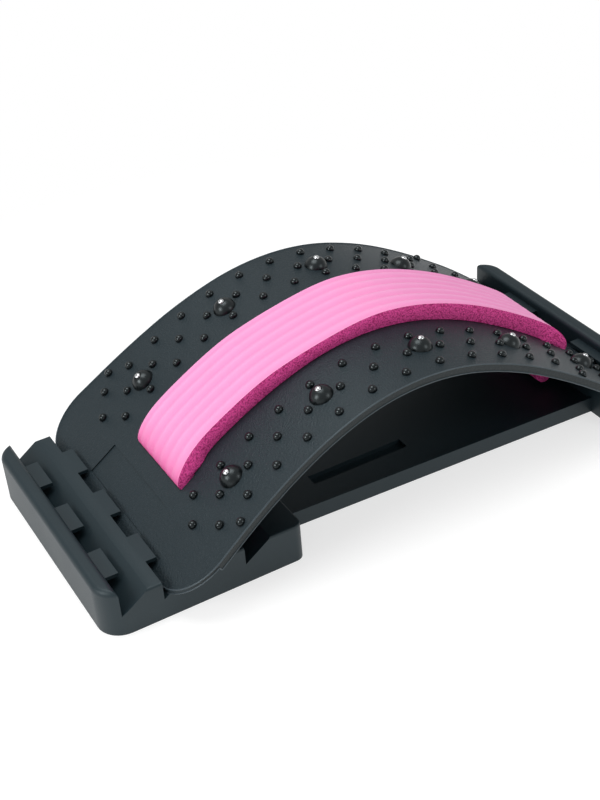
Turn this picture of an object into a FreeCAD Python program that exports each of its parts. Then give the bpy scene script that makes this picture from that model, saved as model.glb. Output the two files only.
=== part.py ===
import FreeCAD, Part
import math
import os

import Sketcher
from FreeCAD import Placement, Rotation, Vector

# A lumbar traction arch: a bent plate with massage nubs rests in a slotted base.
# X runs along the object, Y across it and Z up. The origin is under its middle.

doc = FreeCAD.newDocument("TractionArch")

# Driving dimensions in millimetres, angles in degrees
DIMENSIONS = [
    # Base: the near end has a long block with several slots, the far end a short one
    ("base_length", 517), ("near_width", 225), ("far_width", 250),
    ("near_block_length", 168.5), ("far_block_length", 45.5),
    ("board_near_width", 151), ("board_middle_width", 158.5), ("board_far_width", 176),
    ("board_height", 12), ("board_rim_width", 3), ("board_rim_height", 2.5), ("rail_width", 14),
    ("rail_height", 42), ("ridge_height", 34), ("slot_floor", 18.2),
    ("slot_pitch", 34.3), ("slot_count", 4), ("near_skip_count", 1),
    ("outer_corner_radius", 20), ("inner_corner_radius", 8), ("rail_round", 5),
    ("block_round", 2),
    # Holding tabs over the slots
    ("near_tab_width", 34), ("near_tab_pitch", 66), ("near_tab_count", 3),
    ("far_tab_width", 42), ("far_tab_pitch", 102), ("far_tab_count", 2),
    ("tab_thickness", 3.2), ("near_tab_reach", 12), ("far_tab_reach", 9.5),
    ("ridge_tab_reach", 9), ("tab_root", 2),
    # Board grooves and underside cells
    ("groove_length", 90), ("groove_width", 12), ("groove_depth", 4), ("groove_offset", 45),
    ("shell_wall", 3), ("block_cell_count", 4), ("board_cell_count", 3),
    ("ridge_cell_length", 10), ("ridge_cell_height", 24),
    # Arch plate, its bends measured along its top face as shares of its half span
    ("crown_share", 0.2663), ("crown_angle", 17.9), ("shoulder_share", 0.2663),
    ("shoulder_angle", 10.8), ("flank_share", 0.2707), ("flank_angle", 6.1),
    ("plate_thickness", 3), ("seat_gap", 0.35), ("end_gap", 2),
    ("waist_width", 241), ("end_width", 277), ("plate_corner_radius", 34),
    ("lip_depth", 3.5), ("lip_wall", 3), ("lip_end_clearance", 42),
    ("tongue_width", 100), ("tongue_length", 29), ("tongue_margin", 12), ("tongue_depth", 1),
    # Massage nubs and domes, along the plate as shares of its half length
    ("first_row_share", -0.7507), ("row_step_share", 0.1211), ("row_count", 15),
    ("near_corner_share", -0.698), ("far_corner_share", 0.662),
    ("outer_column", 107), ("middle_column", 85), ("inner_column", 63.5),
    ("corner_nub_column", 121), ("nub_radius", 3.6), ("nub_height", 3.3),
    ("dome_column", 80), ("dome_count", 5), ("dome_row_count", 3),
    ("dome_radius", 9.25), ("dome_height", 8.5),
    ("spigot_radius", 4), ("spigot_tail", 2), ("fit_gap", 0.3),
    ("magnet_radius", 2.7), ("magnet_length", 4.5), ("magnet_reveal", 0.8),
    ("magnet_round", 1.9), ("magnet_gap", 0.05),
    # Foam strip, its ends measured from the plate's ends
    ("near_foam_margin", 58), ("far_foam_margin", 33), ("foam_width", 76.5),
    ("foam_offset", 10), ("foam_thickness", 16),
    ("foam_rib_count", 6), ("foam_rib_depth", 1.5), ("foam_side_bulge", 1.2),
    ("foam_bend_radius", 1), ("near_tail", 19), ("far_tail", 28.5),
    # One overrun for every cut
    ("overrun", 2),
]

sheet = doc.addObject("Spreadsheet::Sheet", "Sizes")
for row, (alias, value) in enumerate(DIMENSIONS, start=1):
    sheet.set(f"A{row}", alias)
    sheet.set(f"B{row}", str(value))
    sheet.setAlias(f"B{row}", alias)
doc.recompute()


def size(alias):
    """Read one driving dimension from the sheet."""
    return float(sheet.get(alias))


def bind(target, **expressions):
    """Bind properties to expressions of the sheet; a double underscore stands for a dot."""
    for name, expression in expressions.items():
        target.setExpression(name.replace("__", "."), expression)


# Finished pieces, in the order that they are written
PIECES = []
# Points closer than this count as one
TINY = 1e-4

RAMP_ANGLE = "(Sizes.crown_angle + Sizes.shoulder_angle + Sizes.flank_angle)"
FIRST_WALL = "(Sizes.base_length / 2 - Sizes.rail_width)"
CUT_HEIGHT = "(Sizes.ridge_height - Sizes.slot_floor + Sizes.overrun)"


# Sketches and features of a body
def plane_of(body, role):
    """Find one of the body's own origin planes or axes."""
    return [item for item in body.Origin.OriginFeatures if item.Role == role][0]


def new_sketch(body, name, role, x="0", y="0", z="0"):
    """Attach a sketch to an origin plane, moved in the plane's own frame."""
    sketch = body.newObject("Sketcher::SketchObject", name)
    sketch.AttachmentSupport = [(plane_of(body, role), "")]
    sketch.MapMode = "FlatFace"
    bind(sketch, AttachmentOffset__Base__x=x, AttachmentOffset__Base__y=y,
         AttachmentOffset__Base__z=z)
    return sketch


def measure(sketch, kind, ends, name, expression):
    """Add a named driving distance between two points of a sketch."""
    index = sketch.addConstraint(Sketcher.Constraint(kind, *ends, 1.0))
    sketch.renameConstraint(index, name)
    sketch.setExpression(f"Constraints.{name}", expression)


def closed_lines(sketch, points, pinned=True):
    """Draw a closed run of lines; a pinned run keeps its first point on the sketch origin."""
    ends = points[1:] + points[:1]
    for start, end in zip(points, ends):
        sketch.addGeometry(Part.LineSegment(Vector(*start), Vector(*end)), False)
    for index in range(len(points)):
        following = (index + 1) % len(points)
        sketch.addConstraint(Sketcher.Constraint("Coincident", index, 2, following, 1))
    if pinned:
        sketch.addConstraint(Sketcher.Constraint("Coincident", 0, 1, -1, 1))


def rectangle(body, name, x, y, z, length, width):
    """Draw a rectangle seen from above, from its corner of least x and y."""
    sketch = new_sketch(body, name, "XY_Plane", x, y, z)
    closed_lines(sketch, [(0, 0, 0), (1, 0, 0), (1, 1, 0), (0, 1, 0)])
    for index, kind in enumerate(("Horizontal", "Vertical", "Horizontal", "Vertical")):
        sketch.addConstraint(Sketcher.Constraint(kind, index))
    measure(sketch, "DistanceX", (0, 1, 0, 2), "length", length)
    measure(sketch, "DistanceY", (1, 1, 1, 2), "width", width)
    return sketch


def trapezoid(body, name, z, length, middle_width, end_width):
    """Draw a plan that tapers evenly from the middle of the base to one of its blocks."""
    sketch = new_sketch(body, name, "XY_Plane", z=z)
    closed_lines(sketch, [(0, -1, 0), (1, -1, 0), (1, 1, 0), (0, 1, 0)], pinned=False)
    sketch.addConstraint(Sketcher.Constraint("PointOnObject", 0, 1, -2))
    sketch.addConstraint(Sketcher.Constraint("Symmetric", 0, 1, 3, 1, -1))
    sketch.addConstraint(Sketcher.Constraint("Symmetric", 1, 1, 1, 2, -1))
    measure(sketch, "DistanceX", (0, 1, 0, 2), "length", length)
    measure(sketch, "DistanceY", (3, 2, 3, 1), "middle", middle_width)
    measure(sketch, "DistanceY", (1, 1, 1, 2), "end", end_width)
    return sketch


def slot_triangle(body, name):
    """Draw the first slot's section: its wall stands up and its ramp falls to the floor."""
    sketch = new_sketch(body, name, "XZ_Plane", x=FIRST_WALL, y="Sizes.slot_floor")
    closed_lines(sketch, [(0, 0, 0), (0, 1, 0), (-1, 1, 0)])
    sketch.addConstraint(Sketcher.Constraint("Vertical", 0))
    sketch.addConstraint(Sketcher.Constraint("Horizontal", 1))
    measure(sketch, "DistanceY", (0, 1, 0, 2), "rise", CUT_HEIGHT)
    measure(sketch, "DistanceX", (1, 2, 1, 1), "run", f"{CUT_HEIGHT} / tan({RAMP_ANGLE} * 1 deg)")
    return sketch


def pad(body, sketch, height, down=False):
    """Raise a sketch, or drop it."""
    feature = body.newObject("PartDesign::Pad", sketch.Name + "Pad")
    feature.Profile = sketch
    feature.Reversed = down
    bind(feature, Length=height)
    return feature


def pocket(body, sketch, depth, up=False, both_ways=False):
    """Cut a sketch downwards, upwards or evenly both ways."""
    feature = body.newObject("PartDesign::Pocket", sketch.Name + "Pocket")
    feature.Profile = sketch
    feature.Reversed = up
    feature.Midplane = both_ways
    bind(feature, Length=depth)
    return feature


def grid(body, feature, x_count, x_span, y_count="1", y_span="0"):
    """Repeat a feature along -X and, where wanted, along Y."""
    many = body.newObject("PartDesign::MultiTransform", feature.Name + "Grid")
    many.Originals = [feature]
    steps = []
    for role, count, span, back in (("X_Axis", x_count, x_span, True),
                                    ("Y_Axis", y_count, y_span, False)):
        step = body.newObject("PartDesign::LinearPattern", feature.Name + role[0] + "Step")
        step.Direction = (plane_of(body, role), [""])
        step.Reversed = back
        bind(step, Occurrences=count, Length=span)
        steps.append(step)
    many.Transformations = steps
    body.Tip = many
    return many


def edges_where(shape, test):
    """Name the edges of a shape that pass a test."""
    return [f"Edge{number}" for number, edge in enumerate(shape.Edges, start=1) if test(edge)]


def fillet(body, base, radius, test):
    """Round the edges of a body that pass a test."""
    doc.recompute()
    feature = body.newObject("PartDesign::Fillet", base.Name + "Round")
    feature.Base = (base, edges_where(base.Shape, test))
    bind(feature, Radius=radius)
    body.Tip = feature
    return feature


def is_upright_at(x_place):
    """Test for an upright edge at one place along X."""
    def test(edge):
        ends = [vertex.Point for vertex in edge.Vertexes]
        upright = len(ends) == 2 and ends[0].sub(ends[1]).cross(Vector(0, 0, 1)).Length < TINY
        return upright and abs(ends[0].x - x_place) < TINY
    return test


def is_on_top_at(level):
    """Test for an edge that lies at one height."""
    def test(edge):
        return all(abs(vertex.Point.z - level) < TINY for vertex in edge.Vertexes)
    return test


# Base: each end is modelled on the +X side and the near one is then mirrored
class BaseEnd:
    """Hold the sizes in which one end of the base differs from the other."""

    def __init__(self, name, slots, cell_length):
        self.name = name
        self.slots = slots
        self.cell_length = cell_length
        self.width_value = size(name + "_width")
        self.start_value = size("base_length") / 2 - size(name + "_block_length")
        self.width = f"Sizes.{name}_width"
        self.board_width = f"Sizes.board_{name}_width"
        self.block_length = f"Sizes.{name}_block_length"
        self.start = f"(Sizes.base_length / 2 - Sizes.{name}_block_length)"


NEAR_END = BaseEnd("near", "Sizes.slot_count", "(Sizes.slot_pitch - Sizes.shell_wall)")
FAR_END = BaseEnd("far", "1", "(Sizes.far_block_length - Sizes.rail_width - Sizes.shell_wall)")


def build_half_base(end):
    body = doc.addObject("PartDesign::Body", end.name + "_half")
    board = trapezoid(body, "Board", "0", f"{end.start} + Sizes.overrun",
                      "Sizes.board_middle_width", end.board_width)
    pad(body, board, "Sizes.board_height + Sizes.board_rim_height")
    bed = trapezoid(body, "Bed", "Sizes.board_height + Sizes.board_rim_height",
                    f"{end.start} + Sizes.overrun",
                    "Sizes.board_middle_width - 2 * Sizes.board_rim_width",
                    f"{end.board_width} - 2 * Sizes.board_rim_width")
    pocket(body, bed, "Sizes.board_rim_height")
    block = rectangle(body, "Block", end.start, f"-{end.width} / 2", "0",
                      end.block_length, end.width)
    pad(body, block, "Sizes.ridge_height")
    rail = rectangle(body, "Rail", FIRST_WALL, f"-{end.width} / 2", "0",
                     "Sizes.rail_width", end.width)
    rail_pad = pad(body, rail, "Sizes.rail_height")
    corners = fillet(body, rail_pad, "Sizes.outer_corner_radius",
                     is_upright_at(size("base_length") / 2))
    inner = fillet(body, corners, "Sizes.inner_corner_radius",
                   lambda edge: is_upright_at(end.start_value)(edge)
                   and abs(abs(edge.CenterOfMass.y) - end.width_value / 2) < TINY)
    rail_edges = fillet(body, inner, "Sizes.rail_round", is_on_top_at(size("rail_height")))
    wall_x = size("base_length") / 2 - size("rail_width")
    fillet(body, rail_edges, "Sizes.block_round",
           lambda edge: is_on_top_at(size("ridge_height"))(edge)
           and edge.CenterOfMass.x < wall_x - TINY)

    slot = slot_triangle(body, "Slot")
    slot_cut = pocket(body, slot, f"{end.width} + Sizes.overrun", both_ways=True)
    add_tabs(body, "RailTab", end, FIRST_WALL, f"Sizes.{end.name}_tab_reach", "1", "0")
    if end is NEAR_END:
        grid(body, slot_cut, end.slots, f"({end.slots} - 1) * Sizes.slot_pitch")
        add_tabs(body, "RidgeTab", end, f"{FIRST_WALL} - Sizes.slot_pitch",
                 "Sizes.ridge_tab_reach", "Sizes.slot_count - 1",
                 "(Sizes.slot_count - 2) * Sizes.slot_pitch")
    cut_cells(body, end)
    for name, offset in (("Groove", "Sizes.groove_offset"), ("OtherGroove", "-Sizes.groove_offset")):
        groove = rectangle(body, name, "0", f"{offset} - Sizes.groove_width / 2",
                           "Sizes.board_height", "Sizes.groove_length / 2", "Sizes.groove_width")
        pocket(body, groove, "Sizes.groove_depth")
    return body


def add_tabs(body, name, end, root, reach, row_count, row_span):
    """Add rows of holding tabs that reach inwards from their root over a slot."""
    width = f"Sizes.{end.name}_tab_width"
    count = f"Sizes.{end.name}_tab_count"
    span = f"({count} - 1) * Sizes.{end.name}_tab_pitch"
    tab = rectangle(body, name, f"{root} - {reach}", f"-({span} + {width}) / 2",
                    "Sizes.ridge_height - Sizes.tab_thickness",
                    f"{reach} + Sizes.tab_root", width)
    grid(body, pad(body, tab, "Sizes.tab_thickness"), row_count, row_span, count, span)


def cut_cells(body, end):
    """Open the underside into cells between stiffening walls."""
    cell_step = f"({end.width} - Sizes.shell_wall) / Sizes.block_cell_count"
    cell_span = f"{cell_step} * (Sizes.block_cell_count - 1)"
    cell_start = f"{FIRST_WALL} - {end.cell_length}"
    low = f"-{end.width} / 2 + Sizes.shell_wall"
    wide = f"{cell_step} - Sizes.shell_wall"
    last = f"({end.slots} - 1) * Sizes.slot_pitch"
    floor_cell = rectangle(body, "FloorCell", cell_start, low, "0", end.cell_length, wide)
    grid(body, pocket(body, floor_cell, "Sizes.slot_floor - Sizes.shell_wall", up=True),
         end.slots, last, "Sizes.block_cell_count", cell_span)
    ridge_cell = rectangle(body, "RidgeCell", cell_start, low, "0", "Sizes.ridge_cell_length", wide)
    grid(body, pocket(body, ridge_cell, "Sizes.ridge_cell_height", up=True),
         end.slots, last, "Sizes.block_cell_count", cell_span)
    board_step = "(Sizes.board_near_width - Sizes.shell_wall) / Sizes.board_cell_count"
    board_cell = rectangle(body, "BoardCell", "Sizes.shell_wall / 2",
                           "-Sizes.board_near_width / 2 + Sizes.shell_wall", "0",
                           f"{end.start} / 2 - Sizes.shell_wall", f"{board_step} - Sizes.shell_wall")
    depth = "Sizes.board_height - Sizes.groove_depth - Sizes.shell_wall"
    cells = grid(body, pocket(body, board_cell, depth, up=True), "2", f"{end.start} / 2",
                 "Sizes.board_cell_count", f"{board_step} * (Sizes.board_cell_count - 1)")
    cells.Transformations[0].Reversed = False


def build_base():
    near = doc.addObject("Part::Mirroring", "NearEnd")
    near.Source = build_half_base(NEAR_END)
    near.Normal = Vector(1, 0, 0)
    base = doc.addObject("Part::Fuse", "Base")
    base.Base = build_half_base(FAR_END)
    base.Tool = near
    base.Refine = True
    base.Label = "base"
    PIECES.append(base)


# Path of the bent plate
FIRST_WALL_X = size("base_length") / 2 - size("rail_width")
NEAR_WALL_X = size("near_skip_count") * size("slot_pitch") - FIRST_WALL_X
ARCH_X = (NEAR_WALL_X + FIRST_WALL_X) / 2
HALF_SPAN = (FIRST_WALL_X - NEAR_WALL_X) / 2 - size("end_gap")
SEGMENTS = [(size(bend + "_share") * HALF_SPAN, size(bend + "_angle"))
            for bend in ("crown", "shoulder", "flank")]
END_ANGLE = math.radians(sum(turn for length, turn in SEGMENTS))


def fall_of(along):
    """Return how far a point of the top face lies out and down from the crown, and its slope."""
    out = down = slope = 0.0
    left = along
    for length, turn in SEGMENTS:
        step = min(left, length)
        radius = length / math.radians(turn)
        new_slope = slope + step / radius
        out += radius * (math.sin(new_slope) - math.sin(slope))
        down += radius * (math.cos(slope) - math.cos(new_slope))
        slope = new_slope
        left -= step
    return out + left * math.cos(slope), down + left * math.sin(slope), slope


BENT_LENGTH = sum(length for length, turn in SEGMENTS)
HALF_PLATE = BENT_LENGTH + (HALF_SPAN - fall_of(BENT_LENGTH)[0]) / math.cos(END_ANGLE)
END_LEVEL = (size("slot_floor") + size("end_gap") * math.tan(END_ANGLE)
             + (size("seat_gap") + size("plate_thickness")) / math.cos(END_ANGLE))
CROWN_LEVEL = END_LEVEL + fall_of(HALF_PLATE)[1]


def slope_at(along):
    """Return the plate's fall towards +X at one place, in radians."""
    return math.copysign(fall_of(abs(along))[2], along)


def on_plate(along, across=0.0, height=0.0):
    """Return the placement on the plate's top face, with z along its normal."""
    out, down, slope = fall_of(abs(along))
    side = math.copysign(1, along)
    turn = Rotation(Vector(0, 1, 0), math.degrees(slope_at(along)))
    foot = Vector(ARCH_X + side * out, across, CROWN_LEVEL - down)
    return Placement(foot + turn.multVec(Vector(0, 0, height)), turn)


def bends_between(start, end):
    """Return the stations where the plate's curvature changes, with both ends."""
    bends = [0.0]
    for length, turn in SEGMENTS:
        bends.append(bends[-1] + length)
    stations = sorted({-bend for bend in bends} | set(bends))
    return [start] + [bend for bend in stations if start < bend < end] + [end]


def path_edges(start, end, height):
    """Follow the plate at one height above its top face with arcs and lines."""
    edges = []
    stations = bends_between(start, end)
    for first, last in zip(stations, stations[1:]):
        points = [on_plate(place, 0, height).Base for place in (first, (first + last) / 2, last)]
        if min(abs(first), abs(last)) >= BENT_LENGTH:
            edges.append(Part.LineSegment(points[0], points[2]).toShape())
        else:
            edges.append(Part.Arc(*points).toShape())
    return edges


def band(start, end, low, high, width):
    """Make the slab between two heights over the plate, centred across it."""
    lower = path_edges(start, end, low)
    upper = path_edges(start, end, high)
    caps = [Part.LineSegment(lower[0].firstVertex().Point, upper[0].firstVertex().Point).toShape(),
            Part.LineSegment(lower[-1].lastVertex().Point, upper[-1].lastVertex().Point).toShape()]
    outline = Part.Wire(Part.__sortEdges__(lower + upper + caps))
    slab = Part.Face(outline).extrude(Vector(0, width, 0))
    slab.translate(Vector(0, -width / 2, 0))
    return slab


def plate_outline(inset, reach):
    """Make the upright prism of the plate's outline: a waist, flared ends, round corners."""
    waist = size("waist_width") / 2 - inset
    end = size("end_width") / 2 - inset
    sides = [Part.Arc(Vector(-reach, y * end, 0), Vector(0, y * waist, 0),
                      Vector(reach, y * end, 0)).toShape() for y in (-1, 1)]
    ends = [Part.LineSegment(Vector(x * reach, -end, 0), Vector(x * reach, end, 0)).toShape()
            for x in (-1, 1)]
    face = Part.Face(Part.Wire(Part.__sortEdges__(sides + ends)))
    prism = face.extrude(Vector(0, 0, CROWN_LEVEL + size("overrun")))
    prism.translate(Vector(ARCH_X, 0, 0))
    return prism


def local_block(along, length, across, width, low, high):
    """Make a block square to the plate, from one station along it."""
    block = Part.makeBox(length, width, high - low, Vector(0, 0, low))
    block.Placement = on_plate(along, across)
    return block


def add_part(label, shape, placement=None):
    """Add one finished piece to the document."""
    feature = doc.addObject("Part::Feature", label)
    feature.Label = label
    feature.Shape = shape
    if placement is not None:
        feature.Placement = placement
    PIECES.append(feature)


# Rows and columns of the nubs and domes
def row_place(row):
    """Return the distance along the plate of a row of nubs."""
    return (size("first_row_share") + row * size("row_step_share")) * HALF_PLATE


def nub_places():
    """List the nubs of one side by their places along and across the plate."""
    rows = range(int(size("row_count")))
    places = [(row_place(row), size(column)) for column in ("outer_column", "inner_column")
              for row in rows]
    places += [(row_place(row - 0.5), size("middle_column")) for row in rows]
    places += [(size(share) * HALF_PLATE, size("corner_nub_column"))
               for share in ("near_corner_share", "far_corner_share")]
    return places


def dome_rows():
    """List the rows of the domes, evenly spread about the middle row."""
    middle = (size("row_count") - 1) / 2
    count = int(size("dome_count"))
    return [middle + (index - (count - 1) / 2) * size("dome_row_count") for index in range(count)]


SIDES = (("near", -1), ("far", 1))


def sphere_cap(name, radius, height):
    """Make a cap of given foot radius and height, standing on z = 0."""
    ball = f"(({radius})^2 + ({height})^2) / (2 * {height})"
    cap = doc.addObject("Part::Sphere", name)
    bind(cap, Radius=ball, Angle1=f"asin((({ball}) - {height}) / ({ball}))",
         Placement__Base__z=f"{height} - ({ball})")
    return cap


def build_nubs():
    master = sphere_cap("NubMaster", "Sizes.nub_radius", "Sizes.nub_height")
    doc.recompute()
    for side, sign in SIDES:
        caps = []
        for along, column in nub_places():
            cap = master.Shape.copy()
            cap.Placement = on_plate(along, sign * column).multiply(master.Placement)
            caps.append(cap)
        add_part(f"nubs_{side}", Part.makeCompound(caps))


def build_domes():
    cap = sphere_cap("DomeCap", "Sizes.dome_radius", "Sizes.dome_height")
    spigot = doc.addObject("Part::Cylinder", "DomeSpigot")
    bind(spigot, Radius="Sizes.spigot_radius",
         Height="Sizes.plate_thickness + Sizes.spigot_tail + Sizes.overrun",
         Placement__Base__z="-Sizes.plate_thickness - Sizes.spigot_tail")
    solid = doc.addObject("Part::Fuse", "DomeSolid")
    solid.Base = cap
    solid.Tool = spigot
    socket = doc.addObject("Part::Cylinder", "DomeSocket")
    bind(socket, Radius="Sizes.magnet_radius + Sizes.magnet_gap", Height="Sizes.magnet_length",
         Placement__Base__z="Sizes.dome_height + Sizes.magnet_reveal - Sizes.magnet_length")
    dome = doc.addObject("Part::Cut", "DomeMaster")
    dome.Base = solid
    dome.Tool = socket
    pin = doc.addObject("Part::Cylinder", "MagnetPin")
    bind(pin, Radius="Sizes.magnet_radius", Height="Sizes.magnet_length",
         Placement__Base__z="Sizes.dome_height + Sizes.magnet_reveal - Sizes.magnet_length")
    doc.recompute()
    top = size("dome_height") + size("magnet_reveal")
    tip = [number for number, edge in enumerate(pin.Shape.Edges, start=1)
           if is_on_top_at(top)(edge)]
    magnet = doc.addObject("Part::Fillet", "MagnetMaster")
    magnet.Base = pin
    magnet.Edges = [(number, size("magnet_round"), size("magnet_round")) for number in tip]
    doc.recompute()
    for side, sign in SIDES:
        for index, row in enumerate(dome_rows(), start=1):
            seat = on_plate(row_place(row), sign * size("dome_column"))
            add_part(f"dome_{side}_{index}", dome.Shape.copy(), seat)
            add_part(f"magnet_{side}_{index}", magnet.Shape.copy(), seat)


# Foam strip: a ribbed section swept over the arch and rolled down through the plate
FOAM_LOW = -size("foam_offset") - size("foam_width") / 2
FOAM_BEND = size("foam_thickness") + size("foam_bend_radius")
NEAR_ROLL = size("near_foam_margin") + FOAM_BEND - HALF_PLATE
FAR_ROLL = HALF_PLATE - size("far_foam_margin") - FOAM_BEND


def foam_section():
    """Draw the strip's section across the plate: bulging sides and rounded ribs."""
    low = size("seat_gap")
    top = low + size("foam_thickness")
    valley = top - size("foam_rib_depth")
    left = FOAM_LOW
    right = FOAM_LOW + size("foam_width")
    middle = (low + valley) / 2
    bulge = size("foam_side_bulge")
    count = int(size("foam_rib_count"))
    pitch = (size("foam_width") - 2 * bulge) / count
    inner_left = left + bulge
    inner_right = right - bulge
    edges = [Part.LineSegment(Vector(0, inner_right, low), Vector(0, inner_left, low)).toShape(),
             Part.Arc(Vector(0, inner_left, low), Vector(0, left, middle),
                      Vector(0, inner_left, valley)).toShape()]
    for rib in range(count):
        start = inner_left + rib * pitch
        edges.append(Part.Arc(Vector(0, start, valley), Vector(0, start + pitch / 2, top),
                              Vector(0, start + pitch, valley)).toShape())
    edges.append(Part.Arc(Vector(0, inner_right, valley), Vector(0, right, middle),
                          Vector(0, inner_right, low)).toShape())
    return Part.Face(Part.Wire(Part.__sortEdges__(edges)))


def foam_span(section, first, last):
    """Sweep the section between two stations of one bend of the plate."""
    face = section.copy()
    face.Placement = on_plate(first)
    if min(abs(first), abs(last)) >= BENT_LENGTH:
        return face.extrude(on_plate(last).Base - on_plate(first).Base)
    turn = slope_at(last) - slope_at(first)
    radius = (last - first) / turn
    centre = on_plate(first).multVec(Vector(0, 0, -radius))
    return face.revolve(centre, Vector(0, 1, 0), math.degrees(turn))


def foam_end(section, station, tail_length):
    """Roll the strip's end down by a quarter turn and drop its tail through the plate."""
    side = math.copysign(1, station)
    seat = on_plate(station)
    face = section.copy()
    face.Placement = seat
    axis_height = size("seat_gap") - size("foam_bend_radius")
    axis = seat.multVec(Vector(0, 0, axis_height))
    quarter = side * 90
    roll = face.revolve(axis, Vector(0, 1, 0), quarter)
    face.rotate(axis, Vector(0, 1, 0), quarter)
    drop = size("plate_thickness") + axis_height + tail_length
    tail = face.extrude(seat.Rotation.multVec(Vector(0, 0, -drop)))
    return [roll, tail]


def build_foam():
    section = foam_section()
    stations = bends_between(NEAR_ROLL, FAR_ROLL)
    spans = [foam_span(section, first, last) for first, last in zip(stations, stations[1:])]
    pieces = spans + foam_end(section, NEAR_ROLL, size("near_tail"))
    pieces += foam_end(section, FAR_ROLL, size("far_tail"))
    strip = pieces[0].fuse(pieces[1:]).removeSplitter()
    add_part("foam_strip", strip)


# Arch plate with its lip, holes and tongue panels
def build_plate():
    reach = size("overrun") + HALF_SPAN
    outline = plate_outline(0, HALF_SPAN)
    upright = [edge for edge in outline.Edges if is_upright_at(ARCH_X - HALF_SPAN)(edge)
               or is_upright_at(ARCH_X + HALF_SPAN)(edge)]
    outline = outline.makeFillet(size("plate_corner_radius"), upright)
    width = size("end_width") + size("overrun")
    thick = size("plate_thickness")
    sheet_slab = band(-HALF_PLATE, HALF_PLATE, -thick, 0, width)
    lip_end = HALF_PLATE - size("lip_end_clearance")
    lip_slab = band(-lip_end, lip_end, -thick - size("lip_depth"), -thick, width)
    lip = lip_slab.cut(plate_outline(size("lip_wall"), reach))
    plate = sheet_slab.fuse(lip).common(outline)

    cuts = []
    gap = size("fit_gap")
    over = size("overrun")
    slot_length = size("foam_thickness") + 2 * gap
    slot_width = size("foam_width") + 2 * gap
    near_start = NEAR_ROLL - FOAM_BEND - gap
    far_start = FAR_ROLL + size("foam_bend_radius") - gap
    for start in (near_start, far_start):
        cuts.append(local_block(start, slot_length, FOAM_LOW - gap, slot_width,
                                -thick - over, over))
    panel_start = HALF_PLATE - size("tongue_margin") - size("tongue_length")
    for start in (panel_start, -panel_start - size("tongue_length")):
        cuts.append(local_block(start, size("tongue_length"), -size("tongue_width") / 2,
                                size("tongue_width"), -size("tongue_depth"), over))
    for side, sign in SIDES:
        for row in dome_rows():
            hole = Part.makeCylinder(size("spigot_radius") + gap, thick + 2 * over)
            hole.Placement = on_plate(row_place(row), sign * size("dome_column"), -thick - over)
            cuts.append(hole)
    add_part("arch_plate", plate.cut(cuts).removeSplitter())


def check_and_write():
    """Stop on any failed object or shape, then write one file per sub-part."""
    doc.recompute()
    for item in doc.Objects:
        if {"Invalid", "Error"} & set(item.State):
            raise RuntimeError(f"{item.Name} failed: {item.State}")
    os.makedirs("parts", exist_ok=True)
    for piece in PIECES:
        shape = piece.Shape
        if shape.isNull() or not shape.isValid():
            raise RuntimeError(f"{piece.Label} has a bad shape")
        shape.exportStep(f"parts/{piece.Label}.step")
        print(piece.Label, len(shape.Solids), "solids", round(shape.Volume), "mm3")


build_base()
build_plate()
build_foam()
build_nubs()
build_domes()
check_and_write()
print("crown level", round(CROWN_LEVEL, 2), "half plate", round(HALF_PLATE, 2),
      "arch x", round(ARCH_X, 2))
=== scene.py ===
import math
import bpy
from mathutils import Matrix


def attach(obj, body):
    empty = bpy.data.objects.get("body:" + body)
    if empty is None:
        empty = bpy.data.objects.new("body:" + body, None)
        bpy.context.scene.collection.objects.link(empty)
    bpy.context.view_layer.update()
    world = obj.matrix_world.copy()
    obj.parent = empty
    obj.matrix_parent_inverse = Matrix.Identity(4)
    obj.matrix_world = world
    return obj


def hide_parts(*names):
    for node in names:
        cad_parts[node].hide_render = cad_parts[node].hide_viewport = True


bl_info = {
    "name": "Lumbar traction arch",
    "version": (1, 0, 0),
    "blender": (4, 5, 0),
    "location": "View3D > Sidebar > Traction arch",
    "description": "Dresses the packed traction arch: plate, nubs, domes, foam strip and slotted base",
    "category": "Object",
}

import bmesh
import bpy
from bpy.props import FloatProperty, FloatVectorProperty, IntProperty, PointerProperty
from bpy.types import Operator, Panel, PropertyGroup
from mathutils import Matrix, Vector

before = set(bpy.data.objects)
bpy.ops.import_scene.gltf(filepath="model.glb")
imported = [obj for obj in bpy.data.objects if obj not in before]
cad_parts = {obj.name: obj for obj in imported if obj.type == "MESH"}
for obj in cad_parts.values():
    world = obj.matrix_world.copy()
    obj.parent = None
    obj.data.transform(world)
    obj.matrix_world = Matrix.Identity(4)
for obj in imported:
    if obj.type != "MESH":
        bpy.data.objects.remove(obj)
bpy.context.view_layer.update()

MM = 0.001
SIDES = (("near", -1), ("far", 1))
DOMES_PER_SIDE = 5
WELD_REACH = 0.005 * MM
SOFT_EDGE = 0.8 * MM


def length(name, description, millimetres):
    """Make a property for a length, kept in metres."""
    return FloatProperty(name=name, description=description, default=millimetres * MM,
                         min=0, precision=5, unit="LENGTH", subtype="DISTANCE")


def turn(name, description, degrees):
    """Make a property for an angle, kept in radians."""
    return FloatProperty(name=name, description=description, default=math.radians(degrees),
                         unit="ROTATION", subtype="ANGLE")


def tone(name, description, red, green, blue):
    """Make a colour property from the eight-bit numbers a colour picker shows."""
    linear = []
    for channel in (red, green, blue):
        share = channel / 255
        # A picker's numbers follow the sRGB curve, and Blender's own colours are linear
        linear.append(share / 12.92 if share <= 0.04045 else ((share + 0.055) / 1.055) ** 2.4)
    return FloatVectorProperty(name=name, description=description, default=(*linear, 1),
                               size=4, min=0, max=1, subtype="COLOR")


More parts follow.
